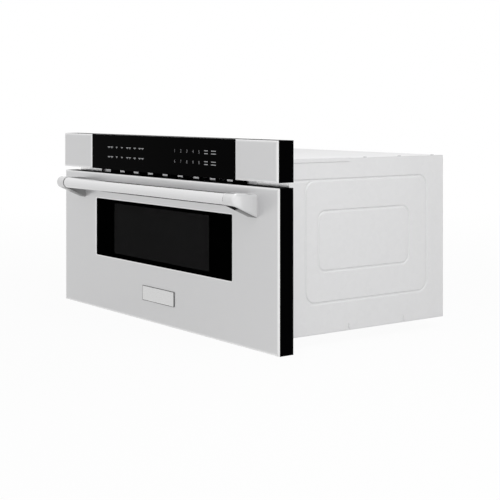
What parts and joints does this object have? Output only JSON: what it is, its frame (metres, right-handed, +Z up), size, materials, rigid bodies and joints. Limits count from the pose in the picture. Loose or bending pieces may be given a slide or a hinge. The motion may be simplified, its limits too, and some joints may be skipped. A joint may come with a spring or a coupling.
{
  "type": "built-in microwave drawer",
  "caption": "Built-in microwave oven whose whole front pulls out as a drawer, with a steel door, bar handle, dark window and touch controls above.",
  "frame": {"origin": "middle of the cabinet's underside, where it rests on the shelf of its cut-out", "axes": "+X to the right of someone facing the appliance's front, +Y towards its rear, +Z up; the drawer opens along -Y"},
  "size_m": [0.76, 0.4949, 0.3756],
  "materials": {
    "galvanised_sheet": "satin zinc-coated sheet",
    "steel_skin": "fine horizontal brushing",
    "handle_steel": "bright satin",
    "badge_metal": "satin with a bright rim",
    "black_frame": "semi-matte moulded",
    "choke_plastic": "fine moulded grain",
    "door_glass_tint": "dark tinted, polished",
    "inner_glass_clear": "clear, polished",
    "control_glass_black": "black back-printed glass, polished",
    "screen_steel": "dark enamel, perforated",
    "cavity_enamel": "smooth grey enamel",
    "tray_ceramic": "smooth glaze",
    "slide_steel": "bright zinc",
    "screw_steel": "bright zinc",
    "gear_plastic": "natural acetal",
    "fan_plastic": "moulded",
    "stirrer_metal": "plain sheet",
    "motor_steel": "satin",
    "core_steel": "varnished laminations",
    "coil_copper": "enamelled wire",
    "board_green": "solder mask",
    "display_black": "dark display",
    "switch_plastic": "moulded",
    "gland_plastic": "moulded",
    "lamp_glass": "clear bulb in its holder"
  },
  "bodies": {
    "cabinet": {"base_pan": "galvanised_sheet", "side_panel_right": "galvanised_sheet", "side_panel_left": "galvanised_sheet", "rear_panel": "galvanised_sheet", "top_cover": "galvanised_sheet", "top_doubler": "galvanised_sheet", "cabinet_screws": "screw_steel", "front_plate": "galvanised_sheet", "vent_grille": "black_frame", "exhaust_duct": "galvanised_sheet", "cavity_wrap": "cavity_enamel", "cavity_floor": "cavity_enamel", "cavity_back": "cavity_enamel", "cavity_supports": "galvanised_sheet", "waveguide": "galvanised_sheet", "magnetron": "stirrer_metal", "magnetron_yoke": "galvanised_sheet", "stirrer_motor": "motor_steel", "stirrer_cover": "choke_plastic", "oven_lamp": "lamp_glass", "transformer_core": "core_steel", "transformer_coil": "coil_copper", "hv_capacitor": "stirrer_metal", "power_board": "board_green", "noise_filter_board": "board_green", "cord_gland": "gland_plastic", "fan_housing": "fan_plastic", "fan_motor": "motor_steel", "slide_brackets": "galvanised_sheet", "slide_outer_members": "slide_steel", "motor_bracket": "galvanised_sheet", "drive_motor": "motor_steel", "switch_holders": "switch_plastic", "interlock_switches": "switch_plastic", "control_panel_housing": "black_frame", "control_glass": "control_glass_black", "control_panel_trims": "steel_skin", "control_board": "board_green", "display_module": "display_black"},
    "drawer": {"door_skin": "steel_skin", "door_frame": "black_frame", "door_glass": "door_glass_tint", "door_inner_panel": "cavity_enamel", "choke_cover": "choke_plastic", "window_screen": "screen_steel", "inner_glass": "inner_glass_clear", "badge_plate": "badge_metal", "handle_bar": "handle_steel", "handle_brackets": "handle_steel", "handle_screws": "screw_steel", "tub": "cavity_enamel", "tray_plate": "tray_ceramic", "slide_inner_members": "slide_steel", "drive_rack": "gear_plastic", "latch_hooks": "slide_steel"},
    "slide_link_left": {"slide_middle_left": "slide_steel"},
    "slide_link_right": {"slide_middle_right": "slide_steel"},
    "pinion": {"drive_pinion": "gear_plastic"},
    "cooling_fan": {"fan_wheel": "fan_plastic"},
    "stirrer": {"stirrer_fan": "stirrer_metal"}
  },
  "joints": [
    {"name": "drawer_slide", "type": "slide", "parent": "cabinet", "child": "drawer", "axis": [0, -1, 0], "range_m": [0, 0.33]},
    {"name": "slide_link_left_slide", "type": "slide", "parent": "cabinet", "child": "slide_link_left", "axis": [0, -1, 0], "range_m": [0, 0.165]},
    {"name": "slide_link_right_slide", "type": "slide", "parent": "cabinet", "child": "slide_link_right", "axis": [0, -1, 0], "range_m": [0, 0.165]},
    {"name": "pinion_spin", "type": "hinge", "parent": "cabinet", "child": "pinion", "pos_m": [0.3, -0.172, 0.0245], "axis": [1, 0, 0], "range_deg": [0, 1401]},
    {"name": "fan_spin", "type": "hinge", "parent": "cabinet", "child": "cooling_fan", "pos_m": [-0.15, 0.177, 0.15], "axis": [0, 1, 0], "continuous": true},
    {"name": "stirrer_spin", "type": "hinge", "parent": "cabinet", "child": "stirrer", "pos_m": [-0.005, -0.012, 0.226], "axis": [0, 0, 1], "continuous": true}
  ],
  "couplings": [
    {"joint": "slide_link_left_slide", "follows": "drawer_slide", "ratio": 0.5},
    {"joint": "slide_link_right_slide", "follows": "drawer_slide", "ratio": 0.5},
    {"joint": "pinion_spin", "follows": "drawer_slide", "rad_per_m": 74.074}
  ]
}
